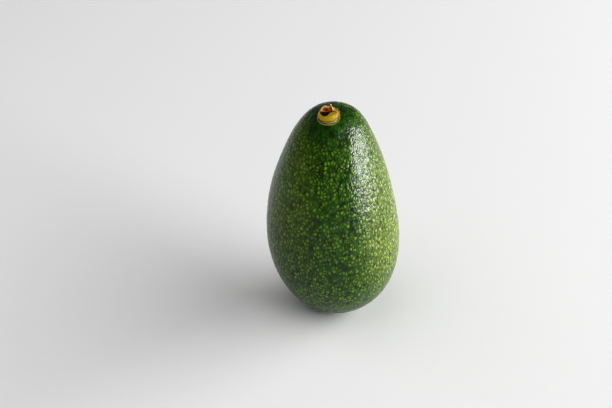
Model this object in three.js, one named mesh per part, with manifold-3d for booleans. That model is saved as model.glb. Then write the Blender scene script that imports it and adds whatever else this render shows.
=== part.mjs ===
// A whole avocado standing on the small flat spot at its blossom end.
// Millimetres, +Z up from the flat spot to the stem end, front of the fruit towards -Y.
// Two pieces: the fruit, grown as one solid, and the button of stem left in its seat.
import * as THREE from 'three';
import { mergeVertices } from 'three/addons/utils/BufferGeometryUtils.js';
import Module from 'manifold-3d';

// Outline of the fruit: an egg drawn by one angle, from 0 at the blossom pole to pi at the stem pole
const OUTLINE_LENGTH = 118;
const OUTLINE_RADIUS = 30.15;
const PEAR_SHARE = 0.3; // carries the widest girth towards the blossom end
const SHOULDER_SHARE = 0.082; // fills the shoulder above the girth
const POLE_SHARE = 0.2; // draws out the neck and blunts the blossom end

// The grown fruit is not quite straight: its centre line wanders sideways
const CENTRE_WANDER = 1.7;
const WANDER_TURN = 1.4 * Math.PI;

// Flat spot at the blossom end
const FOOT_SINK = 1.8; // how much of the outline is lost below the flat spot
const FOOT_BLEND = 0.3;

// Stem seat, off the middle of the stem end and tipped a little to the front and left
const SEAT_X = -3.4;
const SEAT_Y = -7.6;
const SEAT_TIP = THREE.MathUtils.degToRad(8);
const SEAT_TURN = THREE.MathUtils.degToRad(-20);
const SEAT_LEVEL_RADIUS = 3; // the skin is level with the seat inside this distance
const SEAT_REACH = 11.5; // and back on the outline at this one
const RECESS_RADIUS = 5.2;
const RECESS_DEPTH = 1;

// Stem button: a squat cushion with a hollow top and a torn rim
const BUTTON_GAP = 0.3;
const BUTTON_HEIGHT = 4.8;
const BUTTON_WAIST_RADIUS = 5.3;
const BUTTON_RIM_RADIUS = 4.4;
const BUTTON_HOLLOW = 1.5;
const TORN_RISE = 1.1;
const TORN_DIRECTION = THREE.MathUtils.degToRad(115);

const FRUIT_SIDES = 60;
const FRUIT_RINGS = 46;
const BUTTON_SIDES = 36;

const wasm = await Module();
wasm.setup();

const skin = new THREE.MeshStandardMaterial({ color: 0x2f5a1c, roughness: 0.32, metalness: 0 });
const stemBark = new THREE.MeshStandardMaterial({ color: 0xa08428, roughness: 0.5, metalness: 0 });

// Radius and height of the outline at an angle, before the foot is made
function outline(angle) {
  const swell = Math.sin(angle) + PEAR_SHARE * Math.sin(2 * angle) + SHOULDER_SHARE * Math.sin(3 * angle);
  const rise = 1 - Math.cos(angle) + POLE_SHARE * (1 - Math.cos(2 * angle));
  return { radius: OUTLINE_RADIUS * swell, height: 0.5 * OUTLINE_LENGTH * rise };
}

// Height above the flat spot: zero on the spot, then a short blend onto the outline
function aboveFoot(height) {
  const clear = height - FOOT_SINK;
  if (clear <= -FOOT_BLEND) return 0;
  if (clear >= FOOT_BLEND) return clear;
  return (clear + FOOT_BLEND) ** 2 / (4 * FOOT_BLEND);
}

// Outline angle at which the egg first reaches a radius or height, found by halving
function angleWhere(reached, low, high) {
  let below = low;
  let above = high;
  for (let step = 0; step < 40; step += 1) {
    const middle = 0.5 * (below + above);
    if (reached(outline(middle))) above = middle;
    else below = middle;
  }
  return above;
}

// Sideways place of the centre line at a height above the flat spot
function centreX(z) {
  const share = (z + FOOT_SINK) / OUTLINE_LENGTH;
  return CENTRE_WANDER * Math.cos(WANDER_TURN * share);
}

// Seat centre on the outline, and the slopes of its tipped plane
const seatFromAxis = Math.hypot(SEAT_X - centreX(OUTLINE_LENGTH - FOOT_SINK), SEAT_Y);
const seatAngle = angleWhere((point) => point.radius < seatFromAxis, 0.75 * Math.PI, Math.PI);
const seatZ = aboveFoot(outline(seatAngle).height);
const seatSlopeX = Math.tan(SEAT_TIP) * Math.sin(-SEAT_TURN);
const seatSlopeY = Math.tan(SEAT_TIP) * Math.cos(SEAT_TURN);

function seatPlaneZ(x, y) {
  return seatZ + seatSlopeX * (x - SEAT_X) + seatSlopeY * (y - SEAT_Y);
}

// The skin levels out towards the seat
function levelled(point) {
  const distance = Math.hypot(point.x - SEAT_X, point.y - SEAT_Y);
  const share = 1 - THREE.MathUtils.smoothstep(distance, SEAT_LEVEL_RADIUS, SEAT_REACH);
  if (point.z > 0.5 * OUTLINE_LENGTH && share > 0) {
    point.z = THREE.MathUtils.lerp(point.z, seatPlaneZ(point.x, point.y), share);
  }
  return point;
}

// Turn a lathe so that its axis stands up, then pass each vertex through a shaping rule
function uprightLathe(profile, sides, shape) {
  const geometry = new THREE.LatheGeometry(profile, sides);
  geometry.rotateX(Math.PI / 2);
  const place = geometry.getAttribute('position');
  const point = new THREE.Vector3();
  for (let i = 0; i < place.count; i += 1) {
    point.fromBufferAttribute(place, i);
    shape(point);
    place.setXYZ(i, point.x, point.y, point.z);
  }
  return welded(geometry);
}

function welded(geometry) {
  geometry.deleteAttribute('normal');
  geometry.deleteAttribute('uv');
  return mergeVertices(geometry, 1e-4);
}

function solidOf(geometry) {
  const vertProperties = new Float32Array(geometry.getAttribute('position').array);
  const triVerts = new Uint32Array(geometry.getIndex().array);
  return new wasm.Manifold(new wasm.Mesh({ numProp: 3, vertProperties, triVerts }));
}

function geometryOf(solid) {
  const mesh = solid.getMesh();
  const geometry = new THREE.BufferGeometry();
  geometry.setAttribute('position', new THREE.BufferAttribute(mesh.vertProperties, 3));
  geometry.setIndex(new THREE.BufferAttribute(mesh.triVerts, 1));
  geometry.computeVertexNormals();
  return geometry;
}

// Place a shape made about its own axis into the tipped seat
function intoSeat(object) {
  object.position.set(SEAT_X, SEAT_Y, seatZ);
  object.rotation.set(Math.atan(seatSlopeY), -Math.atan(seatSlopeX), 0);
  object.updateMatrix();
  return object;
}

// Profile of the fruit from the middle of the flat spot to the stem pole
function fruitProfile() {
  const footAngle = angleWhere((point) => point.height > FOOT_SINK - FOOT_BLEND, 0, 0.5 * Math.PI);
  const profile = [new THREE.Vector2(0, 0)];
  for (let ring = 0; ring < FRUIT_RINGS; ring += 1) {
    const { radius, height } = outline(footAngle + ((Math.PI - footAngle) * ring) / FRUIT_RINGS);
    profile.push(new THREE.Vector2(radius, aboveFoot(height)));
  }
  profile.push(new THREE.Vector2(0, aboveFoot(OUTLINE_LENGTH)));
  return profile;
}

function fruitBody() {
  const egg = uprightLathe(fruitProfile(), FRUIT_SIDES, (point) => {
    point.x += centreX(point.z);
    levelled(point);
  });
  const pocketProfile = [
    new THREE.Vector2(0, -RECESS_DEPTH),
    new THREE.Vector2(RECESS_RADIUS - 0.5, -RECESS_DEPTH),
    new THREE.Vector2(RECESS_RADIUS, -RECESS_DEPTH + 0.5),
    new THREE.Vector2(RECESS_RADIUS, BUTTON_HEIGHT),
    new THREE.Vector2(0, BUTTON_HEIGHT),
  ];
  const pocket = uprightLathe(pocketProfile, BUTTON_SIDES, (point) => point);
  pocket.applyMatrix4(intoSeat(new THREE.Object3D()).matrix);
  return geometryOf(solidOf(egg).subtract(solidOf(pocket)));
}

// Profile of the button, from the middle of its base up its side and into the hollow
function buttonProfile() {
  const base = BUTTON_GAP - RECESS_DEPTH;
  const rim = base + BUTTON_HEIGHT;
  const footRadius = RECESS_RADIUS - BUTTON_GAP;
  return [
    new THREE.Vector2(0, base),
    new THREE.Vector2(footRadius - 0.5, base),
    new THREE.Vector2(footRadius, base + 0.5),
    new THREE.Vector2(footRadius, base + 1),
    new THREE.Vector2(BUTTON_WAIST_RADIUS, base + 0.4 * BUTTON_HEIGHT),
    new THREE.Vector2(BUTTON_WAIST_RADIUS, base + 0.6 * BUTTON_HEIGHT),
    new THREE.Vector2(BUTTON_RIM_RADIUS + 0.4, base + 0.85 * BUTTON_HEIGHT),
    new THREE.Vector2(BUTTON_RIM_RADIUS, rim),
    new THREE.Vector2(BUTTON_RIM_RADIUS - 0.8, rim - 0.3),
    new THREE.Vector2(0.5 * BUTTON_RIM_RADIUS, rim - 0.8 * BUTTON_HOLLOW),
    new THREE.Vector2(0, rim - BUTTON_HOLLOW),
  ];
}

// The rim stands higher where the stem was torn off
function stemButton() {
  const shoulder = BUTTON_GAP - RECESS_DEPTH + 0.6 * BUTTON_HEIGHT;
  return uprightLathe(buttonProfile(), BUTTON_SIDES, (point) => {
    const facing = Math.cos(Math.atan2(point.y, point.x) - TORN_DIRECTION);
    const outward = Math.min(1, Math.hypot(point.x, point.y) / BUTTON_RIM_RADIUS);
    if (point.z > shoulder && facing > 0) point.z += TORN_RISE * facing ** 2 * outward ** 4;
  });
}

const avocado = new THREE.Group();

const fruit = new THREE.Mesh(fruitBody(), skin);
fruit.name = 'fruit_body';
avocado.add(fruit);

const button = intoSeat(new THREE.Mesh(stemButton(), stemBark));
button.name = 'stem_button';
avocado.add(button);

export default avocado;
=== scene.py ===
"""A whole avocado standing on its blossom end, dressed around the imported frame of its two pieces.

The fruit's skin is grown by a Geometry Nodes tree from the same egg rule as the frame's fruit, with its
pebbled relief and raised dots. The stem button is lofted, with a torn rim, and fibres are strewn in its
hollow by a second tree. Lengths are in metres unless a name ends in _mm.
"""

import logging
import math
from dataclasses import dataclass, field
from enum import Enum

import bpy
from mathutils import Euler, Matrix, Quaternion, Vector, noise


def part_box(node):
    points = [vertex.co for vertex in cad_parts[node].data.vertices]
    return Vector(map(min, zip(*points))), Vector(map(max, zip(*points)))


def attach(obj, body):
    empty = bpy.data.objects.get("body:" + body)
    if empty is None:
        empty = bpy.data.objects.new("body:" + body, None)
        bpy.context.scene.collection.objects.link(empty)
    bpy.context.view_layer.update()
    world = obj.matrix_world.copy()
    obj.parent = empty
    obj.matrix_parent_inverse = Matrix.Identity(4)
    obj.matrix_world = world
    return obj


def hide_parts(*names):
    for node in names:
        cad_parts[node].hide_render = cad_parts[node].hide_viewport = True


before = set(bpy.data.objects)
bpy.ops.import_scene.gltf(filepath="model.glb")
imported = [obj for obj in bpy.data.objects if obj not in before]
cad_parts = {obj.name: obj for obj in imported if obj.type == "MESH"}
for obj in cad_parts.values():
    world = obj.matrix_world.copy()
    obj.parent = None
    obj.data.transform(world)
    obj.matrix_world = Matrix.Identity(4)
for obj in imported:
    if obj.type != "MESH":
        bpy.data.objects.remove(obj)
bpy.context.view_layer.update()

log = logging.getLogger("avocado")

MM = 0.001
GRAIN = "skin_grain"
FROM_SEAT = "from_seat"
BAKE_MAP = "OFBake"
TORN = "torn"
# The scar mark holds the dried scar in the stem's hollow, together with painted shade there.
SCAR_AND_SHADE = "scar"
# The crease mark holds painted shade in the stem's grooves and on the hollow's back wall.
CREASE_SHADE = "crease_shade"
# The fringe mark holds pale torn edges, partly a painted highlight on crests and tips.
FRINGE_AND_HIGHLIGHT = "fringe_and_highlight"
ROUNDING_LEVELS = 1

Colour = tuple[float, float, float]
Place = tuple[float, float, float]


# ---------------------------------------------------------------- node trees written as formulas


class Wire:
    """An output of a node that can be reckoned with, so that a formula in a tree reads as a formula."""

    def __init__(self, writer: "TreeWriter", socket: bpy.types.NodeSocket) -> None:
        """Keep the socket and the writer that adds nodes to its tree."""
        self.writer = writer
        self.socket = socket

    def __add__(self, other: "Value") -> "Wire":
        """Sum."""
        return self.writer.math("ADD", self, other)

    def __radd__(self, other: "Value") -> "Wire":
        """Sum, from the right."""
        return self.writer.math("ADD", other, self)

    def __sub__(self, other: "Value") -> "Wire":
        """Difference."""
        return self.writer.math("SUBTRACT", self, other)

    def __rsub__(self, other: "Value") -> "Wire":
        """Difference, from the right."""
        return self.writer.math("SUBTRACT", other, self)

    def __mul__(self, other: "Value") -> "Wire":
        """Product."""
        return self.writer.math("MULTIPLY", self, other)

    def __truediv__(self, other: "Value") -> "Wire":
        """Quotient."""
        return self.writer.math("DIVIDE", self, other)


Value = Wire | float


@dataclass
class TreeWriter:
    """Adds nodes and links to one node tree.

    Attributes:
        tree: The shader or geometry tree that is written.
    """

    tree: bpy.types.NodeTree

    def plug(self, socket: bpy.types.NodeSocket, value: "Value | Colour | Vector") -> None:
        """Give a socket a link or a value of its own.

        Args:
            socket: The input that is set.
            value: A wire to link, or a plain value. A colour of three numbers gets a full alpha.
        """
        if isinstance(value, Wire):
            self.tree.links.new(value.socket, socket)
        elif socket.type == "RGBA" and len(value) == 3:
            socket.default_value = (*value, 1.0)
        else:
            socket.default_value = value

    def node(self, kind: str, inputs: dict | None = None, **settings) -> bpy.types.Node:
        """Add a node.

        Args:
            kind: Its type name.
            inputs: Values or wires by input name or number.
            **settings: Properties set before the inputs.

        Returns:
            The new node.
        """
        made = self.tree.nodes.new(kind)
        for name, value in settings.items():
            setattr(made, name, value)
        for key, value in (inputs or {}).items():
            self.plug(made.inputs[key], value)
        return made

    def out(self, kind: str, inputs: dict | None = None, output: int | str = 0, **settings) -> Wire:
        """Add a node and give one of its outputs."""
        return Wire(self, self.node(kind, inputs, **settings).outputs[output])

    def math(self, operation: str, *values: Value) -> Wire:
        """Reckon with one, two or three numbers."""
        return self.out("ShaderNodeMath", dict(enumerate(values)), operation=operation)

    def vector_math(self, operation: str, first: "Wire | Place",
                    second: "Wire | Place | Vector | None" = None, scale: Value | None = None,
                    output: int | str = 0) -> Wire:
        """Reckon with one or two vectors, or scale one.

        Args:
            operation: The node's operation.
            first: The first vector.
            second: The second vector, if the operation takes one.
            scale: What a vector is scaled by, if it is.
            output: 0 for a vector, "Value" for a number.

        Returns:
            The result.
        """
        inputs = {0: first}
        if second is not None:
            inputs[1] = second
        if scale is not None:
            inputs["Scale"] = scale
        return self.out("ShaderNodeVectorMath", inputs, output, operation=operation)

    def join(self, x: Value, y: Value, z: Value) -> Wire:
        """A vector from its parts."""
        return self.out("ShaderNodeCombineXYZ", {0: x, 1: y, 2: z})

    def split(self, vector: Wire) -> tuple[Wire, Wire, Wire]:
        """The parts of a vector."""
        parts = self.node("ShaderNodeSeparateXYZ", {0: vector})
        return tuple(Wire(self, output) for output in parts.outputs)

    def fade(self, value: Value, start: Value, end: Value, low: float = 0.0, high: float = 1.0) -> Wire:
        """Ease from low to high as the value goes from start to end."""
        inputs = {0: value, 1: start, 2: end, 3: low, 4: high}
        return self.out("ShaderNodeMapRange", inputs, interpolation_type="SMOOTHSTEP")

    def blend(self, share: Value, first: Value, second: Value) -> Wire:
        """Mix two numbers."""
        return self.out("ShaderNodeMix", {0: share, 2: first, 3: second}, data_type="FLOAT")

    def tint(self, share: Value, first: "Wire | Colour", second: "Wire | Colour") -> Wire:
        """Mix two colours."""
        inputs = {0: share, 6: first, 7: second}
        return self.out("ShaderNodeMix", inputs, 2, data_type="RGBA")

    def noise(self, place: Wire, size: float, detail: float = 2.0, roughness: float = 0.5,
              output: int = 0) -> Wire:
        """Cloudy noise.

        Args:
            place: Where it is read.
            size: The length of one cloud, in the units of place.
            detail: Octaves of finer clouds.
            roughness: How strong the finer ones are.
            output: 0 for the factor, 1 for the colour.

        Returns:
            The noise, around one half.
        """
        inputs = {"Vector": place, "Scale": 1.0 / size, "Detail": detail, "Roughness": roughness}
        return self.out("ShaderNodeTexNoise", inputs, output)

    def cells(self, place: Wire, size: float, feature: str = "F1") -> bpy.types.Node:
        """A cell pattern with one centre in each cube of the given size."""
        inputs = {"Vector": place, "Scale": 1.0 / size}
        return self.node("ShaderNodeTexVoronoi", inputs, feature=feature)


@dataclass
class SurfaceWriter(TreeWriter):
    """Writes a material on one Principled shader.

    Attributes:
        material: The material whose tree is written.
    """

    material: bpy.types.Material

    @classmethod
    def start(cls, name: str) -> "SurfaceWriter":
        """Make an empty material and a writer for it.

        Args:
            name: The material's name.

        Returns:
            The writer.
        """
        material = bpy.data.materials.new(name)
        material.use_nodes = True
        material.node_tree.nodes.clear()
        return cls(material.node_tree, material)

    def attribute(self, name: str, output: str = "Fac") -> Wire:
        """Read an attribute that the mesh carries."""
        return self.out("ShaderNodeAttribute", output=output, attribute_name=name)

    def object_place(self) -> Wire:
        """Place in the piece's own coordinates."""
        return self.out("ShaderNodeTexCoord", output="Object")

    def bump(self, height: Wire, depth: float, normal: Wire | None = None) -> Wire:
        """Turn a height into a relief.

        Args:
            height: The height, between 0 and 1.
            depth: How deep the relief is at height 1.
            normal: A relief that this one lies over, if there is one.

        Returns:
            The normal.
        """
        inputs = {"Height": height, "Distance": depth, "Strength": 1.0}
        if normal is not None:
            inputs["Normal"] = normal
        return self.out("ShaderNodeBump", inputs, "Normal")

    def finish(self, **inputs) -> bpy.types.Material:
        """Close the tree with a Principled shader.

        Args:
            **inputs: Its inputs, with underscores for the spaces in their names.

        Returns:
            The finished material.
        """
        named = {name.replace("_", " "): value for name, value in inputs.items()}
        named["Specular IOR Level"] = named.pop("Specular", 0.5)
        shader = self.node("ShaderNodeBsdfPrincipled", named)
        end = self.node("ShaderNodeOutputMaterial")
        self.tree.links.new(shader.outputs[0], end.inputs[0])
        return self.material


@dataclass
class GrowthWriter(TreeWriter):
    """Writes a geometry tree, whose sizes are named inputs.

    Attributes:
        sizes: The value of each named input, by its socket's identifier.
        source: The node that gives the inputs.
        sink: The node that takes the result.
    """

    sizes: dict[str, float] = field(init=False, default_factory=dict)
    source: bpy.types.Node = field(init=False)
    sink: bpy.types.Node = field(init=False)

    def __post_init__(self) -> None:
        """Add the tree's ends."""
        self.tree.interface.new_socket("Geometry", in_out="OUTPUT", socket_type="NodeSocketGeometry")
        self.source = self.tree.nodes.new("NodeGroupInput")
        self.sink = self.tree.nodes.new("NodeGroupOutput")

    @classmethod
    def start(cls, name: str) -> "GrowthWriter":
        """Make an empty geometry tree and a writer for it."""
        return cls(bpy.data.node_groups.new(name, "GeometryNodeTree"))

    def ground(self) -> Wire:
        """Take the mesh that the tree grows on."""
        self.tree.interface.new_socket("Ground", in_out="INPUT", socket_type="NodeSocketGeometry")
        return Wire(self, self.source.outputs["Ground"])

    def size(self, name: str, value: float, kind: str = "Float") -> Wire:
        """Add a named input.

        Args:
            name: Its name.
            value: Its value.
            kind: The kind of its socket.

        Returns:
            The input.
        """
        socket = self.tree.interface.new_socket(name, in_out="INPUT", socket_type=f"NodeSocket{kind}")
        self.sizes[socket.identifier] = value
        return Wire(self, self.source.outputs[name])

    def moved(self, geometry: Wire, place: Wire | None = None, offset: Wire | None = None) -> Wire:
        """Set or shift the place of every point.

        Args:
            geometry: What is moved.
            place: Each point's new place, if it is set.
            offset: How far each point is shifted, if it is.

        Returns:
            The moved geometry.
        """
        inputs = {"Geometry": geometry}
        if place is not None:
            inputs["Position"] = place
        if offset is not None:
            inputs["Offset"] = offset
        return self.out("GeometryNodeSetPosition", inputs)

    def stored(self, geometry: Wire, name: str, value: Value, kind: str = "FLOAT",
               domain: str = "POINT") -> Wire:
        """Store a value on the geometry under a name."""
        inputs = {"Geometry": geometry, "Name": name, "Value": value}
        return self.out("GeometryNodeStoreNamedAttribute", inputs, data_type=kind, domain=domain)

    def grow(self, geometry: Wire, material: bpy.types.Material, name: str,
             ground: bpy.types.Mesh | None = None) -> bpy.types.Object:
        """End the tree and run it.

        Args:
            geometry: The last step's geometry.
            material: The material of every face.
            name: The piece's name.
            ground: The mesh it grows on, if it has one.

        Returns:
            A piece with a plain mesh, at the origin.
        """
        real = self.out("GeometryNodeRealizeInstances", {0: geometry})
        smooth = self.out("GeometryNodeSetShadeSmooth", {"Geometry": real})
        dressed = self.out("GeometryNodeSetMaterial", {"Geometry": smooth, "Material": material})
        self.tree.links.new(dressed.socket, self.sink.inputs[0])
        holder = linked(bpy.data.objects.new(name, ground or bpy.data.meshes.new(name)))
        modifier = holder.modifiers.new("growth", "NODES")
        modifier.node_group = self.tree
        for identifier, value in self.sizes.items():
            modifier[identifier] = value
        return frozen(holder)


# ---------------------------------------------------------------- meshes


def linked(piece: bpy.types.Object) -> bpy.types.Object:
    """Put an object in the scene."""
    bpy.context.scene.collection.objects.link(piece)
    return piece


def frozen(piece: bpy.types.Object) -> bpy.types.Object:
    """Turn a piece's modifiers into its plain mesh.

    Args:
        piece: The piece, with its modifiers.

    Returns:
        The same piece without modifiers, on a new mesh.
    """
    graph = bpy.context.evaluated_depsgraph_get()
    mesh = bpy.data.meshes.new_from_object(
        piece.evaluated_get(graph), preserve_all_data_layers=True, depsgraph=graph
    )
    mesh.name = piece.name
    piece.modifiers.clear()
    piece.data = mesh
    return piece


def smoothed(share: float) -> float:
    """Ease a share between 0 and 1."""
    share = min(1.0, max(0.0, share))
    return share * share * (3.0 - 2.0 * share)


def bell(distance: float, width: float) -> float:
    """A smooth bump of height 1 at distance 0."""
    return math.exp(-((distance / width) ** 2))


def turn_between(first: float, second: float) -> float:
    """The signed angle from one direction to another, at most half a turn."""
    return (second - first + math.pi) % math.tau - math.pi


@dataclass
class Loft:
    """A closed skin through rings of points, with named values on its points.

    Attributes:
        name: The piece's name.
        rings: Rings from the bottom up, or from the outside in on top, each counter-clockwise.
        marks: Values by name, one list per ring.
    """

    name: str
    rings: list[list[Vector]]
    marks: dict[str, list[list[float]]] = field(default_factory=dict)

    def build(self, place: Matrix) -> bpy.types.Object:
        """Make the mesh.

        Args:
            place: Where the rings' own frame lies in the row frame.

        Returns:
            The piece, at the origin.
        """
        around = len(self.rings[0])
        points = [place @ point for ring in self.rings for point in ring]
        faces = []
        for row in range(len(self.rings) - 1):
            for side in range(around):
                after = (side + 1) % around
                low, high = row * around, (row + 1) * around
                faces.append((low + side, low + after, high + after, high + side))
        last = (len(self.rings) - 1) * around
        faces.append(tuple(reversed(range(around))))
        faces.append(tuple(range(last, last + around)))
        mesh = bpy.data.meshes.new(self.name)
        mesh.from_pydata(points, [], faces)
        for name, rows in self.marks.items():
            layer = mesh.attributes.new(name, "FLOAT", "POINT")
            layer.data.foreach_set("value", [value for row in rows for value in row])
        mesh.polygons.foreach_set("use_smooth", [True] * len(mesh.polygons))
        piece = linked(bpy.data.objects.new(self.name, mesh))
        soft = piece.modifiers.new("rounding", "SUBSURF")
        soft.levels = ROUNDING_LEVELS
        soft.render_levels = ROUNDING_LEVELS
        return frozen(piece)


# ---------------------------------------------------------------- the shape shared with the frame


@dataclass(frozen=True)
class Seat:
    """Where the stem sits on the fruit.

    Attributes:
        place: The middle of the seat, level with the skin round it.
        tip: How far the seat is tipped from level.
        turn: The tip's direction, from the front towards the left when negative.
        recess_radius: Radius of the pocket in the fruit.
        recess_depth: Depth of the pocket.
    """

    place: Vector
    tip: float = math.radians(8.0)
    turn: float = math.radians(-20.0)
    recess_radius: float = 4.85 * MM
    recess_depth: float = 1.0 * MM

    @property
    def slope(self) -> Vector:
        """Rise of the seat's plane along X and Y."""
        return math.tan(self.tip) * Vector((math.sin(-self.turn), math.cos(self.turn)))

    @property
    def frame(self) -> Matrix:
        """From the seat's own frame, with Z out of the fruit, to the row frame."""
        turned = Euler((math.atan(self.slope.y), -math.atan(self.slope.x), 0.0)).to_matrix().to_4x4()
        return Matrix.Translation(self.place) @ turned

    @classmethod
    def under(cls, node: str, base_below: float, base_radius: float) -> "Seat":
        """Find the seat from the frame's stem button.

        Args:
            node: The button's node.
            base_below: Depth of the button's base below the skin.
            base_radius: Radius of that base.

        Returns:
            The seat that the button stands in.
        """
        low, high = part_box(node)
        level = cls(place=Vector())
        sunk = base_below * math.cos(level.tip) + base_radius * math.sin(level.tip)
        height = low.z + sunk
        middle = 0.5 * (low + high)
        lean = level.frame.to_3x3() @ Vector((0.0, 0.0, middle.z - height))
        return cls(place=Vector((middle.x - lean.x, middle.y - lean.y, height)))


@dataclass
class FruitSkin:
    """The fruit's outside, from the flat spot to the stem seat.

    Attributes:
        seat: Where the stem sits.
        pear_share: Carries the widest girth towards the blossom end.
        shoulder_share: Fills the shoulder above the girth.
        pole_share: Draws out the neck and blunts the blossom end.
        wander: Sideways wander of the centre line.
        wander_turn: How far round the wander swings along the fruit.
        foot_sink: What the flat spot takes off the egg.
        foot_blend: Half height of the rounding round the flat spot.
        level_radius: The skin is level with the seat inside this distance.
        level_reach: The skin is back on the egg at this distance.
        ridge_height: Height of the soft ridge that runs up the fruit.
        ridge_heading: Where the ridge starts, counter-clockwise from the right.
        ridge_swing: How far round it swings on its way to the stem end.
        ridge_width: Half its width, as an angle.
        lip_height: Swelling of the skin round the pocket.
        lip_middle: How far outside the pocket's edge that swelling is highest.
        lip_width: Half its width.
        recess_edge: Width of the rounding at the pocket's edge.
        lump_height: Broad unevenness of the fruit.
        lump_mm: Length of one lump.
        pebble_height: Fine unevenness of the skin.
        pebble_mm: Length of one pebble.
        dot_height: How far a lenticel stands proud.
        smooth_foot: The relief starts at the first height above the flat spot and is full at the second.
        smooth_seat_mm: The fine relief starts and is full at these distances from the seat.
        weld: Points nearer than this are merged, at the seam and the poles.
        sides: Faces round the fruit.
        rings: Faces from end to end.
        seat_inputs: The tree's inputs for the seat's place and slope, by name.
    """

    seat: Seat
    pear_share: float = 0.3
    shoulder_share: float = 0.082
    pole_share: float = 0.2
    wander: float = 1.7 * MM
    wander_turn: float = 1.4 * math.pi
    foot_sink: float = 1.8 * MM
    foot_blend: float = 0.3 * MM
    level_radius: float = 3.0 * MM
    level_reach: float = 11.5 * MM
    ridge_height: float = 0.45 * MM
    ridge_heading: float = math.radians(281.0)
    ridge_swing: float = math.radians(23.0)
    ridge_width: float = math.radians(12.0)
    lip_height: float = 0.16 * MM
    lip_middle: float = 0.6 * MM
    lip_width: float = 0.75 * MM
    recess_edge: float = 0.35 * MM
    lump_height: float = 0.5 * MM
    lump_mm: float = 24.0
    pebble_height: float = 0.14 * MM
    pebble_mm: float = 2.4
    dot_height: float = 0.07 * MM
    smooth_foot: tuple[float, float] = (0.2 * MM, 4.0 * MM)
    smooth_seat_mm: tuple[float, float] = (6.0, 15.0)
    weld: float = 0.005 * MM
    sides: int = 330
    rings: int = 290
    seat_inputs: dict[str, Wire] = field(init=False, default_factory=dict)

    def swell(self, angle: float) -> float:
        """The egg's radius before it is scaled to the fruit.

        Args:
            angle: The outline angle, from 0 at the blossom end to half a turn at the stem end.

        Returns:
            The radius as a share.
        """
        return (
            math.sin(angle)
            + self.pear_share * math.sin(2.0 * angle)
            + self.shoulder_share * math.sin(3.0 * angle)
        )

    def build(self, finish: "AvocadoSkin") -> bpy.types.Object:
        """Grow the skin to the size of the frame's fruit.

        Args:
            finish: The skin's finish, which also says how its lenticels are spaced.

        Returns:
            The skin's piece.
        """
        low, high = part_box("fruit_body")
        steps = range(1, self.rings)
        widest = max(self.swell(math.pi * step / self.rings) for step in steps)
        length = high.z - low.z + self.foot_sink
        radius = 0.5 * (high.y - low.y) / widest
        grow = GrowthWriter.start("avocado_growth")
        self.seat_inputs = self._seat_sizes(grow)
        egg = self._egg(grow, length, radius)
        egg = grow.out("GeometryNodeMergeByDistance", {"Geometry": egg, "Distance": self.weld})
        egg = self._pebbled(grow, egg, finish)
        egg = self._pocketed(grow, egg)
        return grow.grow(egg, finish.material(), "avocado_skin")

    def _seat_sizes(self, grow: GrowthWriter) -> dict[str, Wire]:
        """Add the seat's sizes to the tree.

        Args:
            grow: The tree's writer.

        Returns:
            The new inputs by name.
        """
        place, slope = self.seat.place, self.seat.slope
        values = {
            "Seat X": place.x, "Seat Y": place.y, "Seat Z": place.z,
            "Seat slope X": slope.x, "Seat slope Y": slope.y,
        }
        return {name: grow.size(name, value) for name, value in values.items()}

    def _egg(self, grow: GrowthWriter, length: float, radius: float) -> Wire:
        """Bend a grid into the egg, with its flat spot and levelled stem end.

        Args:
            grow: The tree's writer.
            length: Length of the whole egg.
            radius: What the swell is multiplied by.

        Returns:
            The smooth skin, which carries its flat map for baking.
        """
        sides = grow.size("Sides", self.sides, "Int")
        rings = grow.size("Rings", self.rings, "Int")
        egg_length = grow.size("Egg length", length)
        egg_radius = grow.size("Egg radius", radius)
        pear = grow.size("Pear share", self.pear_share)
        shoulder = grow.size("Shoulder share", self.shoulder_share)
        pole = grow.size("Pole share", self.pole_share)
        wander = grow.size("Wander", self.wander)
        wander_turn = grow.size("Wander turn", self.wander_turn)
        sink = grow.size("Foot sink", self.foot_sink)
        blend = grow.size("Foot blend", self.foot_blend)
        ridge_height = grow.size("Ridge height", self.ridge_height)
        ridge_heading = grow.size("Ridge heading", self.ridge_heading)
        ridge_swing = grow.size("Ridge swing", self.ridge_swing)
        ridge_width = grow.size("Ridge width", self.ridge_width)
        level = grow.size("Level radius", self.level_radius)
        reach = grow.size("Level reach", self.level_reach)

        grid = {"Size X": 1.0, "Size Y": 1.0, "Vertices X": sides + 1.0, "Vertices Y": rings + 1.0}
        sheet = grow.out("GeometryNodeMeshGrid", grid)
        across, up, _ = grow.split(grow.out("GeometryNodeInputPosition"))
        around = across + 0.5
        along = up + 0.5
        sheet = grow.stored(sheet, BAKE_MAP, grow.join(around, along, 0.0), "FLOAT2", "CORNER")

        angle = along * math.pi
        swell = (
            grow.math("SINE", angle)
            + pear * grow.math("SINE", angle * 2.0)
            + shoulder * grow.math("SINE", angle * 3.0)
        )
        rise = 1.0 - grow.math("COSINE", angle) + pole * (1.0 - grow.math("COSINE", angle * 2.0))
        clear = rise * egg_length * 0.5 - sink
        in_blend = grow.math("MINIMUM", grow.math("MAXIMUM", clear + blend, 0.0), blend * 2.0)
        height = in_blend * in_blend / (blend * 4.0) + grow.math("MAXIMUM", clear - blend, 0.0)
        centre = wander * grow.math("COSINE", wander_turn * (height + sink) / egg_length)
        heading = around * math.tau
        from_ridge = (heading - ridge_heading - ridge_swing * along) / ridge_width
        ridge = ridge_height * grow.math("SINE", angle) * grow.math("EXPONENT", 0.0 - from_ridge * from_ridge)
        from_axis = egg_radius * swell + ridge
        x = centre + from_axis * grow.math("COSINE", heading)
        y = from_axis * grow.math("SINE", heading)

        seat = self.seat_inputs
        from_x = x - seat["Seat X"]
        from_y = y - seat["Seat Y"]
        distance = grow.math("SQRT", from_x * from_x + from_y * from_y)
        plane = seat["Seat Z"] + seat["Seat slope X"] * from_x + seat["Seat slope Y"] * from_y
        upper = grow.math("GREATER_THAN", height, egg_length * 0.5)
        share = upper * (1.0 - grow.fade(distance, level, reach))
        return grow.moved(sheet, grow.join(x, y, grow.blend(share, height, plane)))

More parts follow.
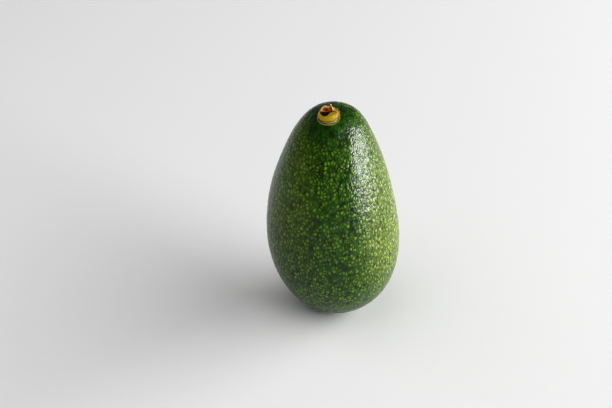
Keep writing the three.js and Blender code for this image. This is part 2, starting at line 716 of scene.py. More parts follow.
    def _pebbled(self, grow: GrowthWriter, egg: Wire, finish: "AvocadoSkin") -> Wire:
        """Raise the skin's lumps, pebbles and lenticels along its normals.

        Args:
            grow: The tree's writer.
            egg: The smooth skin.
            finish: The finish, whose lenticels are the ones raised.

        Returns:
            The skin with its relief, which keeps the grain's place and the distance from the seat.
        """
        lump = grow.size("Lump height", self.lump_height)
        pebble = grow.size("Pebble height", self.pebble_height)
        dot = grow.size("Lenticel height", self.dot_height)
        place = grow.out("GeometryNodeInputPosition")
        seat_place = grow.join(*(self.seat_inputs[f"Seat {axis}"] for axis in "XYZ"))
        from_seat = grow.vector_math("DISTANCE", place, seat_place, output="Value") / MM
        egg = grow.stored(egg, GRAIN, finish.grain(grow, place), "FLOAT_VECTOR")
        egg = grow.stored(egg, FROM_SEAT, from_seat)

        grain = grow.out("GeometryNodeInputNamedAttribute", {"Name": GRAIN}, data_type="FLOAT_VECTOR")
        distance = grow.out("GeometryNodeInputNamedAttribute", {"Name": FROM_SEAT}, data_type="FLOAT")
        above = grow.split(place)[2]
        clear_of_foot = grow.fade(above, *self.smooth_foot)
        clear_of_seat = grow.fade(distance, *self.smooth_seat_mm)
        lumps = (grow.noise(grain, self.lump_mm, 1.0) - 0.5) * lump * 2.0
        pebbles = (grow.noise(grain, self.pebble_mm, 1.0) - 0.5) * pebble * 2.0
        dots = finish.lenticels(grow, grain)[0] * dot
        relief = (lumps + (pebbles + dots) * clear_of_seat) * clear_of_foot
        normal = grow.out("GeometryNodeInputNormal")
        return grow.moved(egg, offset=grow.vector_math("SCALE", normal, scale=relief))

    def _pocketed(self, grow: GrowthWriter, egg: Wire) -> Wire:
        """Press the stem's pocket into the skin and swell the skin round it.

        Args:
            grow: The tree's writer.
            egg: The skin with its relief.

        Returns:
            The skin with the pocket.
        """
        radius = grow.size("Recess radius", self.seat.recess_radius)
        depth = grow.size("Recess depth", self.seat.recess_depth)
        lip = grow.size("Lip height", self.lip_height)
        seat = self.seat_inputs
        x, y, z = grow.split(grow.out("GeometryNodeInputPosition"))
        from_seat = grow.join(x - seat["Seat X"], y - seat["Seat Y"], z - seat["Seat Z"])
        outward = tuple(self.seat.frame.to_3x3().col[2])
        height = grow.vector_math("DOT_PRODUCT", from_seat, outward, output="Value")
        reach = grow.vector_math("LENGTH", from_seat, output="Value")
        beside = grow.math("SQRT", reach * reach - height * height)
        near = grow.math("LESS_THAN", reach, self.level_reach)
        inside = near * (1.0 - grow.fade(beside, radius - self.recess_edge, radius))
        from_lip = (beside - radius - self.lip_middle) / self.lip_width
        swelling = near * lip * grow.math("EXPONENT", 0.0 - from_lip * from_lip)
        shift = swelling - inside * (height + depth + swelling)
        return grow.moved(egg, offset=grow.vector_math("SCALE", outward, scale=shift))


# ---------------------------------------------------------------- finishes


@dataclass(frozen=True)
class Blemish:
    """A small healed mark on the skin.

    Attributes:
        place: Its middle, in the row frame.
        radius: How far it reaches.
    """

    place: Place
    radius: float


@dataclass(frozen=True)
class AvocadoSkin:
    """Waxy green skin with pale lenticels over a pebbled relief.

    Attributes:
        deep: The darkest green.
        fresh: The green of the lighter clouds.
        sunny_and_lit: The yellower, lighter green of the side that grew in the sun, partly painted light on
            the side that faces the window.
        olive: The duller, lighter green of the other flank, partly its own tone and partly a painted sheen.
        speck: The smallest dots.
        dot: The lenticels on the green parts.
        sunny_and_lit_dot: The lenticels on the yellower parts, partly painted light where the flanks are lit.
        lip: The pale skin round the stem.
        cork: Healed skin.
        pocket: The painted shade in the bottom of the stem's pocket.
        stretch: How much longer than wide the grain is on the flanks.
        dot_spacing_mm: Size of the cells that the lenticels lie in.
        dot_gap_mm: How far a lenticel stays from its cell's edge.
        dot_radius_mm: How far it reaches from its cell's middle.
        speck_spacing_mm: Size of the cells that the smallest dots lie in.
        cloud_mm: Length of the broad clouds of colour.
        mottle_mm: Length of the mottling inside them.
        speckle_mm: Length of the finest unevenness of colour.
        pebble_mm: Length of the shaded pebbles.
        pebble_depth_mm: Their depth.
        fine_mm: Length of the finest relief.
        fine_depth_mm: Its depth.
        blemishes: Healed marks.
    """

    deep: Colour = (0.002, 0.014, 0.0004)
    fresh: Colour = (0.012, 0.060, 0.0012)
    sunny_and_lit: Colour = (0.135, 0.190, 0.024)
    olive: Colour = (0.050, 0.095, 0.002)
    speck: Colour = (0.150, 0.210, 0.030)
    dot: Colour = (0.125, 0.270, 0.006)
    sunny_and_lit_dot: Colour = (0.380, 0.470, 0.100)
    lip: Colour = (0.400, 0.430, 0.115)
    cork: Colour = (0.120, 0.070, 0.030)
    pocket: Colour = (0.020, 0.012, 0.005)
    stretch: float = 1.4
    dot_spacing_mm: float = 1.6
    dot_gap_mm: float = 0.08
    dot_radius_mm: float = 1.05
    speck_spacing_mm: float = 0.9
    cloud_mm: float = 16.0
    mottle_mm: float = 3.0
    speckle_mm: float = 0.75
    pebble_mm: float = 1.7
    pebble_depth_mm: float = 0.27
    fine_mm: float = 0.5
    fine_depth_mm: float = 0.01
    blemishes: tuple[Blemish, ...] = (
        Blemish((0.0300, -0.0120, 0.0370), 0.0008),
        Blemish((0.0050, -0.0300, 0.0220), 0.0011),
        Blemish((-0.0200, 0.0270, 0.0400), 0.0013),
        Blemish((0.0240, 0.0200, 0.0700), 0.0009),
    )

    def grain(self, writer: TreeWriter, place: Wire) -> Wire:
        """The skin's own coordinates, in millimetres, drawn out along the fruit."""
        x, y, z = writer.split(place)
        return writer.join(x / MM, y / MM, z / (MM * self.stretch))

    def lenticels(self, writer: TreeWriter, grain: Wire) -> tuple[Wire, Wire]:
        """Where the lenticels are.

        Args:
            writer: Of the growth tree, which raises them, or of the surface, which colours them.
            grain: The skin's coordinates.

        Returns:
            Their mask, and a number between 0 and 1 that is each one's own.
        """
        wobble = writer.vector_math("SUBTRACT", writer.noise(grain, 1.3, 1.0, output=1), (0.5, 0.5, 0.5))
        place = writer.vector_math("ADD", grain, writer.vector_math("SCALE", wobble, scale=0.7))
        cells = writer.cells(place, self.dot_spacing_mm)
        own = writer.split(Wire(writer, cells.outputs["Color"]))[0]
        edges = writer.cells(place, self.dot_spacing_mm, "DISTANCE_TO_EDGE")
        from_edge = Wire(writer, edges.outputs["Distance"]) * self.dot_spacing_mm
        from_middle = Wire(writer, cells.outputs["Distance"]) * self.dot_spacing_mm
        round_dot = 1.0 - writer.fade(from_middle, self.dot_radius_mm * 0.4, self.dot_radius_mm)
        return writer.fade(from_edge, self.dot_gap_mm, self.dot_gap_mm + 0.35) * round_dot, own

    def material(self) -> bpy.types.Material:
        """Write the finish.

        Returns:
            The material.
        """
        surface = SurfaceWriter.start("avocado_skin")
        grain = surface.attribute(GRAIN, "Vector")
        from_seat = surface.attribute(FROM_SEAT)
        place = surface.object_place()
        x, _, z = surface.split(place)

        clouds = surface.noise(grain, self.cloud_mm, 2.0)
        mottle = surface.noise(grain, self.mottle_mm, 3.0, 0.6)
        speckle = surface.noise(grain, self.speckle_mm, 2.0, 0.6)
        base = surface.tint(surface.fade(mottle, 0.36, 0.68), self.deep, self.fresh)
        # The right flank, which faces the window, is painted yellower and lighter: partly the side that grew
        # in the sun, partly painted window light.
        aside = x / MM + (clouds - 0.5) * 12.0
        sun_side_and_lamp_light = surface.fade(aside, 6.0, 32.0) * surface.fade(z / MM, 6.0, 56.0)
        # The left flank gets a lighter olive band that is stronger towards the top: partly its own duller
        # tone, partly a painted sheen.
        left_tone_and_sheen = surface.fade(aside, -10.0, -18.0) * surface.fade(aside, -33.0, -28.0)
        left_tone_and_sheen = left_tone_and_sheen * surface.fade(z / MM, 25.0, 95.0, 0.35, 1.5)
        # olive marks both flanks, which are partly painted light, and makes the specks and lenticels there
        # lighter and yellower.
        olive = sun_side_and_lamp_light + left_tone_and_sheen * 0.12
        base = surface.tint(sun_side_and_lamp_light * (mottle * 0.8 - 0.05), base, self.sunny_and_lit)
        base = surface.tint(left_tone_and_sheen * mottle * 0.6, base, self.olive)
        fine_grain = surface.vector_math("MULTIPLY", grain, (1.0, 1.0, 0.65))
        specks = surface.cells(fine_grain, self.speck_spacing_mm)
        speck = 1.0 - surface.fade(Wire(surface, specks.outputs["Distance"]), 0.25, 0.65)
        quiet = surface.fade(from_seat, 8.0, 19.0)
        base = surface.tint(speck * quiet * (0.12 + olive * 0.9), base, self.speck)

        dots, own = self.lenticels(surface, grain)
        dot_colour = surface.tint(olive, self.dot, self.sunny_and_lit_dot)
        colour = surface.tint(dots * quiet * (0.2 + own * 0.8), base, dot_colour)

        for blemish in self.blemishes:
            away = surface.vector_math("DISTANCE", place, blemish.place, output="Value")
            ragged = away / blemish.radius + (speckle - 0.5) * 1.2
            colour = surface.tint((1.0 - surface.fade(ragged, 0.5, 1.0)) * 0.8, colour, self.cork)

        lip = surface.fade(from_seat, 5.7, 5.2) * (0.3 + speckle * 0.9)
        colour = surface.tint(lip, colour, self.lip)
        # Painted shade: the bottom of the pocket round the button is painted dark.
        colour = surface.tint(surface.fade(from_seat, 5.1, 4.85), colour, self.pocket)
        scar = surface.fade(z / MM + (mottle - 0.5) * 0.5, 0.12, 0.02)
        colour = surface.tint(scar * 0.6, colour, self.cork)

        roughness = 0.23 + (mottle - 0.5) * 0.12 + dots * 0.08 + lip * 0.1
        fine = surface.noise(grain, self.fine_mm, 1.0)
        pebbles = surface.noise(grain, self.pebble_mm, 1.0, 0.4) + speck * 0.2
        relief = surface.bump(pebbles + dots * 0.25 * quiet, self.pebble_depth_mm * MM)
        relief = surface.bump(fine, self.fine_depth_mm * MM, relief)
        return surface.finish(Base_Color=colour, Roughness=roughness, Normal=relief, Specular=0.18)


@dataclass(frozen=True)
class StemBark:
    """The stem button's bark, with torn wood, and a dried scar with painted shade in its top.

    Attributes:
        bark: Yellow-olive skin of the button.
        ripe: Its warmer, more golden patches, mostly on the left.
        dull: Its duller patches, mostly on the right.
        moss: Its greener foot.
        tan: Dry brown streaks.
        wood: Freshly torn wood.
        rust: The redder wood in its clefts.
        fringe_and_highlight: The pale torn edges, partly a painted highlight on the rim's crest and the
            tongues' tips and edges.
        scar: The dried hollow, partly painted shade, and the painted shade in the creases.
        plum_shade: The scar's thinner margin, a painted shade along the hollow's edge.
        cream: The ring at the foot.
        patch_mm: Length of the patches of colour.
        streak_mm: Width of the streaks, which run up the button.
        streak_depth_mm: Their depth.
        grit_mm: Length of the finest grain.
        grit_depth_mm: Its depth.
    """

    bark: Colour = (0.440, 0.310, 0.001)
    ripe: Colour = (0.660, 0.350, 0.001)
    dull: Colour = (0.240, 0.185, 0.003)
    moss: Colour = (0.200, 0.210, 0.010)
    tan: Colour = (0.150, 0.062, 0.012)
    wood: Colour = (0.740, 0.240, 0.045)
    rust: Colour = (0.330, 0.045, 0.008)
    fringe_and_highlight: Colour = (0.920, 0.640, 0.290)
    scar: Colour = (0.007, 0.002, 0.002)
    plum_shade: Colour = (0.100, 0.022, 0.030)
    cream: Colour = (0.620, 0.470, 0.170)
    patch_mm: float = 2.2
    streak_mm: float = 0.5
    streak_depth_mm: float = 0.18
    grit_mm: float = 0.28
    grit_depth_mm: float = 0.035

    def material(self, seat: Seat) -> bpy.types.Material:
        """Write the finish.

        Args:
            seat: The stem's seat, which places are measured from.

        Returns:
            The material.
        """
        surface = SurfaceWriter.start("stem_bark")
        from_seat = surface.vector_math("SUBTRACT", surface.object_place(), seat.place)
        place = surface.vector_math("SCALE", from_seat, scale=1.0 / MM)
        x, _, height = surface.split(place)
        torn = surface.attribute(TORN)
        scar = surface.attribute(SCAR_AND_SHADE)
        crease_shade = surface.attribute(CREASE_SHADE)
        fringe_and_highlight = surface.attribute(FRINGE_AND_HIGHLIGHT)
        patches = surface.noise(place, self.patch_mm, 2.0)
        drawn_up = surface.vector_math("MULTIPLY", place, (1.0, 1.0, 0.25))
        streaks = surface.noise(drawn_up, self.streak_mm, 3.0, 0.65)
        grit = surface.noise(place, self.grit_mm, 2.0, 0.6)

        aside = x * 0.12 + (patches - 0.5) * 1.6
        colour = surface.tint(surface.fade(aside, 0.0, -0.35), self.bark, self.ripe)
        colour = surface.tint(surface.fade(aside, 0.1, 0.6) * 0.7, colour, self.dull)
        colour = surface.tint(surface.fade(height, 2.0, 0.6) * 0.5, colour, self.moss)
        dry = surface.fade(streaks, 0.43, 0.62) * (0.25 + surface.fade(x, 1.0, 3.6) * 0.7)
        colour = surface.tint(dry, colour, self.tan)
        foot = surface.fade(height, 0.56, 0.48)
        colour = surface.tint(foot, colour, self.cream)
        wood = surface.tint(surface.fade(streaks, 0.36, 0.6), self.rust, self.wood)
        colour = surface.tint(torn, colour, wood)
        # Pale torn edges, partly a painted highlight on crests and tips.
        colour = surface.tint(fringe_and_highlight * (0.55 + grit * 0.6), colour, self.fringe_and_highlight)
        # Painted shade in the creases and on the hollow's back wall.
        colour = surface.tint(crease_shade, colour, self.scar)
        # The scar mark darkens through golden and plum to near black: partly the dried scar, partly painted
        # shade in the hollow.
        scar_and_shade_depth = scar + (patches - 0.5) * 0.5 + (grit - 0.5) * 0.3
        colour = surface.tint(surface.fade(scar_and_shade_depth, 0.0, 0.25) * 0.7, colour, self.ripe)
        colour = surface.tint(surface.fade(scar_and_shade_depth, 0.22, 0.5), colour, self.plum_shade)
        colour = surface.tint(surface.fade(scar_and_shade_depth, 0.42, 0.75), colour, self.scar)

        roughness = 0.45 + torn * 0.2 + foot * 0.15 + (grit - 0.5) * 0.2
        relief = surface.bump(streaks, self.streak_depth_mm * MM)
        relief = surface.bump(grit, self.grit_depth_mm * MM, relief)
        return surface.finish(Base_Color=colour, Roughness=roughness, Normal=relief, Specular=0.12)


@dataclass(frozen=True)
class StudioPaint:
    """Matt pale paint of the table.

    Attributes:
        colour: Its colour.
    """

    colour: Colour = (0.78, 0.78, 0.78)

    def material(self) -> bpy.types.Material:
        """Write the finish."""
        surface = SurfaceWriter.start("studio_table")
        return surface.finish(Base_Color=self.colour, Roughness=0.5, Specular=0.0)


# ---------------------------------------------------------------- the stem


class Tip(Enum):
    """How a torn tongue ends."""

    ROUND = "round"
    POINTED = "pointed"


@dataclass(frozen=True)
class Tongue:
    """A torn tongue of bark or wood standing on the button.

    Attributes:
        heading: Its direction from the stem's axis, counter-clockwise from the right.
        half_width: Half its width, as an angle round the axis.
        root_radius_mm: How far its root is from the axis.
        root_height_mm: How high its root is above the skin.
        length_mm: Its length.
        lean: Its lean at the foot, outwards when positive.
        curl: How much further it leans at its tip.
        tip: How it ends.
        torn: How much bare wood shows on its inner face.
        pale_from: Where its pale edge starts, as a share of half its width.
        thickness_mm: Its thickness at the root.
        rows: Rings along it.
        columns: Points across each of its faces.
    """

    heading: float
    half_width: float
    root_radius_mm: float
    root_height_mm: float
    length_mm: float
    lean: float
    curl: float
    tip: Tip = Tip.ROUND
    torn: float = 1.0
    pale_from: float = 0.5
    thickness_mm: float = 0.5
    rows: int = 9
    columns: int = 9

    def width_share(self, share: float) -> float:
        """How much of the width is left.

        Args:
            share: How far along the tongue, from 0 at the root to 1 at the tip.

        Returns:
            The share of the root's width.
        """
        if self.tip is Tip.POINTED:
            return max(0.05, 1.0 - share**1.3)
        return math.sqrt(max(0.02, 1.0 - share**2.6))

    def loft(self, name: str) -> Loft:
        """Loft the tongue from its root.

        Args:
            name: The piece's name.

        Returns:
            The loft, in the seat's frame.
        """
        columns = self.columns
        rings, torn, fringe_and_highlight = [], [], []
        radius, height = self.root_radius_mm, self.root_height_mm
        for row in range(self.rows):
            share = row / (self.rows - 1)
            lean = self.lean + self.curl * share
            half = self.half_width * self.width_share(share)
            thick = self.thickness_mm * (1.0 - 0.7 * share)
            outer, inner, edge = [], [], []
            for column in range(columns):
                across = 2.0 * column / (columns - 1) - 1.0
                angle = self.heading + across * half
                spot = Vector((9.0 * across, 4.0 * share, 5.0 * self.heading))
                ragged = 0.18 * share * noise.noise(spot)
                belly = 0.12 * math.cos(0.5 * math.pi * across)
                top = height + ragged
                outer.append(polar(angle, radius + belly + ragged, top))
                inner.append(polar(angle, radius - thick + 0.5 * belly + ragged, top))
                # The tongue's sides and tip are painted pale: partly torn edges, partly a painted highlight.
                beside = smoothed((abs(across) - self.pale_from) / 0.4)
                edge.append(max(beside, smoothed((share - 0.75) / 0.25)) * smoothed((share - 0.1) / 0.3))
            rings.append([point * MM for point in outer + inner[::-1]])
            torn.append([self.torn * smoothed((share - 0.4) / 0.4)] * columns + [self.torn] * columns)
            fringe_and_highlight.append([self.torn * value for value in edge + edge[::-1]])
            step = self.length_mm / (self.rows - 1)
            radius += step * math.sin(lean)
            height += step * math.cos(lean)
        flat = [[0.0] * (2 * columns)] * self.rows
        return Loft(name, rings, {TORN: torn, SCAR_AND_SHADE: flat, CREASE_SHADE: flat, FRINGE_AND_HIGHLIGHT: fringe_and_highlight})


def torn_tongue(heading: float, half_width: float, root_radius_mm: float, root_height_mm: float,
                length_mm: float, lean: float, curl: float, **others) -> Tongue:
    """Describe a tongue with its angles in degrees.

    Args:
        heading: Its direction from the stem's axis, counter-clockwise from the right.
        half_width: Half its width, as an angle round the axis.
        root_radius_mm: How far its root is from the axis.
        root_height_mm: How high its root is above the skin.
        length_mm: Its length.
        lean: Its lean at the foot, outwards when positive.
        curl: How much further it leans at its tip.
        **others: Its other fields.

    Returns:
        The tongue.
    """
    turned = (math.radians(angle) for angle in (heading, half_width))
    bent = (math.radians(angle) for angle in (lean, curl))
    return Tongue(*turned, root_radius_mm, root_height_mm, length_mm, *bent, **others)


def polar(angle: float, radius: float, height: float) -> Vector:
    """A point beside the stem's axis."""
    return Vector((radius * math.cos(angle), radius * math.sin(angle), height))


@dataclass
class StemButton:
    """The button of stem left on the fruit.

    Attributes:
        seat: Where it sits.
        base_below_mm: Depth of the frame's button below the skin.
        base_radius_mm: Radius of the base of the frame's button.
        profile_mm: Radius and height of its side, from the base to the middle of its top.
        rim_station: The profile's station on the crest of its top.
        hollow: Middle of the hollow in its top, in millimetres.
        sides: Faces round it.
        tongues: The torn tongues on its top.
        shallow_mm: Height of the hollow's shallow right side.
        fibres_per_mm2: How thickly fibres stand in the torn hollow.
        fibre_length_mm: Length of a fibre.
        fibre_radius_mm: Radius of its foot.
        fibre_tip_mm: Radius of its tip.
        fibre_seed: Seed of their scatter.
    """

    seat: Seat
    base_below_mm: float = 0.7
    base_radius_mm: float = 4.4
    profile_mm: tuple[tuple[float, float], ...] = (
        (3.4, -0.70), (4.1, -0.70), (4.30, -0.45), (4.38, -0.05), (4.42, 0.10), (4.54, 0.20), (4.52, 0.34),
        (4.34, 0.44), (3.98, 0.54), (4.08, 0.74), (4.58, 1.04), (4.94, 1.46), (5.06, 2.00), (5.02, 2.60),
        (4.84, 3.10), (4.54, 3.50), (4.12, 3.76), (3.68, 3.80), (3.26, 3.62), (2.90, 3.22), (2.50, 2.75),
        (2.00, 2.40), (1.40, 2.22), (0.60, 2.15),
    )
    rim_station: int = 17
    hollow: tuple[float, float] = (-1.3, 0.1)
    sides: int = 84
    tongues: tuple[Tongue, ...] = (
        torn_tongue(136, 34, 4.1, 3.1, 3.0, lean=-6, curl=-50),
        torn_tongue(56, 46, 2.6, 2.7, 4.4, lean=0, curl=-18, tip=Tip.POINTED, pale_from=0.4),
        torn_tongue(24, 13, 4.1, 2.7, 1.5, lean=15, curl=75, torn=0.3),
        torn_tongue(2, 14, 4.2, 2.7, 1.6, lean=30, curl=90, torn=0.25),
        torn_tongue(-20, 14, 4.4, 2.6, 1.6, lean=44, curl=85, torn=0.1),
        torn_tongue(-40, 11, 4.6, 2.0, 1.2, lean=60, curl=70, torn=0.1),
    )
    shallow_mm: float = 3.45
    fibres_per_mm2: float = 2.2
    fibre_length_mm: float = 0.7
    fibre_radius_mm: float = 0.06
    fibre_tip_mm: float = 0.01
    fibre_seed: int = 7

    def rise(self, angle: float) -> float:
        """How far the top's crest stands above or below its level.

        Args:
            angle: The direction from the stem's axis.

        Returns:
            The height in millimetres.
        """
        behind = bell(turn_between(angle, math.radians(110)), 0.9)
        front = bell(turn_between(angle, math.radians(212)), 0.62)
        beside = bell(turn_between(angle, math.radians(300)), 0.6)
        right = bell(turn_between(angle, math.radians(22)), 0.5)
        lumps = 0.16 * noise.noise(polar(angle, 2.5, 3.0))
        return 0.3 * behind - 0.45 * front + 0.7 * beside - 0.6 * right + lumps

    def frill(self, angle: float) -> float:
        """How far the curled right side stands out, in millimetres."""
        share = bell(turn_between(angle, math.radians(0)), 0.7)
        return share * (0.12 + 0.26 * math.sin(13.0 * angle))

    def body(self) -> Loft:
        """Loft the button itself.

        Returns:
            The loft, in the seat's frame.
        """
        rings = []
        marks: dict[str, list[list[float]]] = {TORN: [], SCAR_AND_SHADE: [], CREASE_SHADE: [], FRINGE_AND_HIGHLIGHT: []}
        for station, (radius, height) in enumerate(self.profile_mm):
            upper = smoothed((height - 0.9) / 2.6)
            inside = smoothed((station - self.rim_station + 1.0) / 3.0)
            scar_and_shade_reach = smoothed((station - self.rim_station + 2.6) / 4.8)
            crest = bell(station - self.rim_station, 2.6)
            ring, torn_row, scar_and_shade_row, fringe_and_highlight_row, wall_shade_row = [], [], [], [], []
            for side in range(self.sides):
                angle = math.tau * side / self.sides
                lump = 0.16 * noise.noise(polar(angle, 1.3, 0.45 * height)) * smoothed((height + 0.2) / 1.2)
                reach = radius + lump + self.frill(angle) * upper * (1.0 - inside)
                point = polar(angle, reach, height + self.rise(angle) * crest)
                point.x += self.hollow[0] * inside
                point.y += self.hollow[1] * inside
                point.z += 0.25 * noise.noise(1.3 * point) * inside
                right = smoothed((point.x + 0.4 - 0.5 * point.y) / 1.6)
                point.z += (self.shallow_mm - point.z) * 0.85 * (right * inside)
                ring.append(point * MM)
                back = smoothed((point.y - 1.2) / 1.0)
                # The hollow's front and a line along its right edge take the scar mark: partly the dried
                # scar, partly painted shade.
                edge_shade = 0.9 * bell(point.y - 0.6, 0.95) * right
                torn_row.append(inside * max(back, 0.3 * (1.0 - right)))
                scar_and_shade_row.append(scar_and_shade_reach * max((1.0 - back) * (1.0 - right), edge_shade))
                # The back rim's crest is painted pale: partly torn fibres, partly a painted highlight.
                fringe_and_highlight_row.append(0.6 * bell(station - self.rim_station - 0.5, 0.8) * back)
                # Painted shade on the hollow's back wall, under the flap.
                wall_shade_row.append(back * (1.0 - right) * smoothed((station - self.rim_station - 0.5) / 2.0))
            rings.append(ring)
            marks[TORN].append(torn_row)
            marks[SCAR_AND_SHADE].append(scar_and_shade_row)
            marks[FRINGE_AND_HIGHLIGHT].append(fringe_and_highlight_row)
            # Painted shade: the waist groove, the foot below the ring and the back wall of the hollow are
            # painted near black.
            waist = smoothed((height - 0.40) / 0.08) * smoothed((0.92 - height) / 0.16)
            under = smoothed((0.19 - height) / 0.08)
            waist = max(waist, under) if station < self.rim_station else 0.0
            marks[CREASE_SHADE].append([max(waist, 0.6 * dark) for dark in wall_shade_row])
        return Loft("stem_bark", rings, marks)

    def fibres(self, body: bpy.types.Object, material: bpy.types.Material) -> bpy.types.Object:
        """Strew short fibres over the torn hollow.

        Args:
            body: The button's finished piece.
            material: The fibres' material.

        Returns:
            The fibres, as one piece.
        """
        grow = GrowthWriter.start("stem_fibres_growth")
        ground = grow.ground()
        density = grow.size("Fibres per square metre", self.fibres_per_mm2 / MM**2)
        length = grow.size("Fibre length", self.fibre_length_mm * MM)
        thickness = grow.size("Fibre radius", self.fibre_radius_mm * MM)
        seed = grow.size("Seed", self.fibre_seed, "Int")
        torn = grow.out("GeometryNodeInputNamedAttribute", {"Name": TORN}, data_type="FLOAT")
        scar = grow.out("GeometryNodeInputNamedAttribute", {"Name": SCAR_AND_SHADE}, data_type="FLOAT")
        bare = grow.math("GREATER_THAN", torn - scar, 0.55)
        strewn = grow.node(
            "GeometryNodeDistributePointsOnFaces",
            {"Mesh": ground, "Selection": bare, "Density": density, "Seed": seed},
        )
        points = Wire(grow, strewn.outputs["Points"])
        rotation = Wire(grow, strewn.outputs["Rotation"])
        shape = {
            "Vertices": 6, "Side Segments": 2,
            "Radius Top": self.fibre_tip_mm * MM, "Radius Bottom": thickness, "Depth": length,
        }
        fibre = grow.out("GeometryNodeMeshCone", shape)
        size = grow.out(
            "FunctionNodeRandomValue", {"Min": (0.6, 0.6, 0.4), "Max": (1.3, 1.3, 1.3), "Seed": seed},
            "Value", data_type="FLOAT_VECTOR",
        )
        bend = grow.out(
            "FunctionNodeRandomValue", {"Min": (-0.7, -0.7, 0.0), "Max": (0.7, 0.7, 6.28), "Seed": seed},
            "Value", data_type="FLOAT_VECTOR",
        )
        turned = grow.out("FunctionNodeRotateRotation", {0: rotation, 1: bend}, rotation_space="LOCAL")
        placed = grow.out(
            "GeometryNodeInstanceOnPoints",
            {"Points": points, "Instance": fibre, "Rotation": turned, "Scale": size},
        )
        real = grow.out("GeometryNodeRealizeInstances", {0: placed})
        marked = grow.stored(grow.stored(real, TORN, 0.75), FRINGE_AND_HIGHLIGHT, 0.4)
        return grow.grow(marked, material, "stem_fibres", body.data.copy())

    def build(self, finish: StemBark) -> tuple[bpy.types.Object, list[bpy.types.Object]]:
        """Build and dress the stem.

        Args:
            finish: Its finish.

        Returns:
            The button, and the torn pieces that stand on it.
        """
        material = finish.material(self.seat)
        body = self.body().build(self.seat.frame)
        torn = [
            tongue.loft(f"stem_tongue_{number}").build(self.seat.frame)
            for number, tongue in enumerate(self.tongues, start=1)
        ]
        for piece in (body, *torn):
            piece.data.materials.append(material)
        torn.append(self.fibres(body, material))
        return body, torn


# ---------------------------------------------------------------- the studio


@dataclass(frozen=True)
class SoftLight:
    """A rectangular soft light that looks at the fruit.

    Attributes:
        name: Its name.
        heading: Its direction from the front, counter-clockwise seen from above, so the right is positive.
        raised: Its angle above the table.
        distance: How far away it stands.
        width: Its width.
        height: Its height.
        radiance: How bright its face is, against a white table of about 1.
        mirrored: Whether glossy surfaces show it.
        spread: Whether it lights matt surfaces.
        roll: How far its right end is turned up, seen from behind it.
    """

    name: str
    heading: float
    raised: float
    distance: float
    width: float
    height: float
    radiance: float
    mirrored: bool = True
    spread: bool = True
    roll: float = 0.0

    def build(self, aim: Vector) -> bpy.types.Object:
        """Stand the light up.

        Args:
            aim: The point that it looks at.

        Returns:
            The light.
        """
        lamp = bpy.data.lights.new(self.name, "AREA")
        lamp.shape = "RECTANGLE"
        lamp.size = self.width
        lamp.size_y = self.height
        lamp.energy = self.radiance * math.pi * self.width * self.height
        light = linked(bpy.data.objects.new(self.name, lamp))
        level = math.cos(self.raised)
        way = Vector((level * math.sin(self.heading), -level * math.cos(self.heading), math.sin(self.raised)))
        light.location = aim + self.distance * way
        facing = way.to_track_quat("Z", "Y") @ Quaternion((0.0, 0.0, 1.0), self.roll)
        light.rotation_euler = facing.to_euler()
        light.visible_glossy = self.mirrored
        light.visible_diffuse = self.spread
        return light


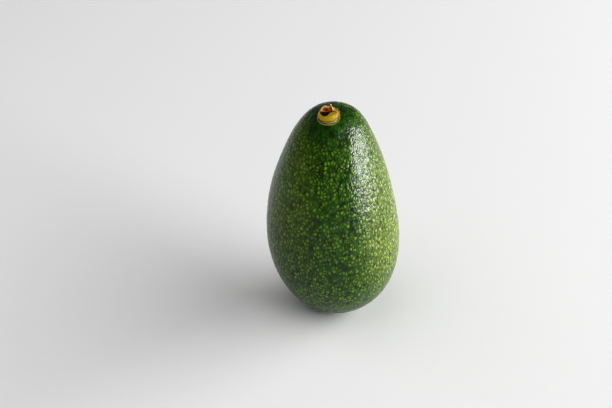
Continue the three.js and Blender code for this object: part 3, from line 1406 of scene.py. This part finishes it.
@dataclass(frozen=True)
class Studio:
    """A pale table under soft light, and the camera.

    Attributes:
        lights: The soft lights. The window is two: one lights matt surfaces, and the smaller pane is
            what glossy surfaces show of it.
        room: Brightness of the room all round.
        camera_raised: How far down the camera looks.
        camera_distance: From the camera to what it looks at.
        camera_aside: How far left of the fruit it looks.
        camera_aim: The height it looks at, as a share of the fruit's.
        lens_mm: Focal length.
        sensor_mm: Width of the camera's sensor.
        table_half: Half the table's width.
        table_under: The table's distance under the fruit, which keeps their faces apart.
    """

    lights: tuple[SoftLight, ...] = (
        SoftLight("window", math.radians(88), math.radians(17), 2.0, 3.2, 1.6, 7.8, mirrored=False),
        SoftLight(
            "pane", math.radians(76), math.radians(7.5), 1.9, 1.75, 0.62, 47.0,
            spread=False, roll=math.radians(25),
        ),
        SoftLight("ceiling", math.radians(-80), math.radians(72), 1.5, 1.6, 1.6, 1.15, mirrored=False),
    )
    room: float = 0.12
    camera_raised: float = math.radians(34.0)
    camera_distance: float = 0.608
    camera_aside: float = 0.0142
    camera_aim: float = 0.52
    lens_mm: float = 70.6
    sensor_mm: float = 36.0
    table_half: float = 4.0
    table_under: float = 0.03 * MM

    def build(self) -> None:
        """Set the table, lights, room and camera."""
        low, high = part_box("fruit_body")
        middle = 0.5 * (low + high)
        self._table(low.z)
        for light in self.lights:
            light.build(middle)
        self._room()
        self._camera(low.z + self.camera_aim * (high.z - low.z))

    def _table(self, level: float) -> None:
        """Lay a wide table just under the fruit.

        Args:
            level: The height of the fruit's flat spot.
        """
        half, under = self.table_half, self.table_under
        corners = [(-half, -half), (half, -half), (half, half), (-half, half)]
        mesh = bpy.data.meshes.new("table")
        mesh.from_pydata([(x, y, level - under) for x, y in corners], [], [(0, 1, 2, 3)])
        mesh.materials.append(StudioPaint().material())
        linked(bpy.data.objects.new("table", mesh))

    def _room(self) -> None:
        """Light the room evenly, and show colours as they are."""
        world = bpy.data.worlds.new("room")
        world.use_nodes = True
        background = world.node_tree.nodes["Background"]
        background.inputs["Color"].default_value = (1.0, 1.0, 1.0, 1.0)
        background.inputs["Strength"].default_value = self.room
        scene = bpy.context.scene
        scene.world = world
        scene.view_settings.view_transform = "Standard"

    def _camera(self, aim_height: float) -> None:
        """Stand the camera in front, looking down.

        Args:
            aim_height: The height that it looks at.
        """
        eye = bpy.data.cameras.new("camera")
        eye.lens = self.lens_mm
        eye.sensor_width = self.sensor_mm
        eye.clip_start = 0.01
        camera = linked(bpy.data.objects.new("camera", eye))
        aim = Vector((-self.camera_aside, 0.0, aim_height))
        back = Vector((0.0, -math.cos(self.camera_raised), math.sin(self.camera_raised)))
        camera.location = aim + self.camera_distance * back
        camera.rotation_euler = (0.5 * math.pi - self.camera_raised, 0.0, 0.0)
        bpy.context.scene.camera = camera


# ---------------------------------------------------------------- the whole avocado


def report(piece: bpy.types.Object) -> None:
    """Log a piece's name and size."""
    piece.data.calc_loop_triangles()
    log.info("%s: %d triangles", piece.name, len(piece.data.loop_triangles))


def main() -> None:
    """Build the studio, the fruit and its stem."""
    logging.basicConfig(level=logging.INFO, format="%(name)s: %(message)s")
    Studio().build()
    seat = Seat.under("stem_button", StemButton.base_below_mm * MM, StemButton.base_radius_mm * MM)

    skin = FruitSkin(seat).build(AvocadoSkin())
    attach(skin, "root")
    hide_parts("fruit_body")
    report(skin)

    button, torn = StemButton(seat).build(StemBark())
    for piece in (button, *torn):
        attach(piece, "root")
        report(piece)
    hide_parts("stem_button")


if __name__ == "__main__":
    main()
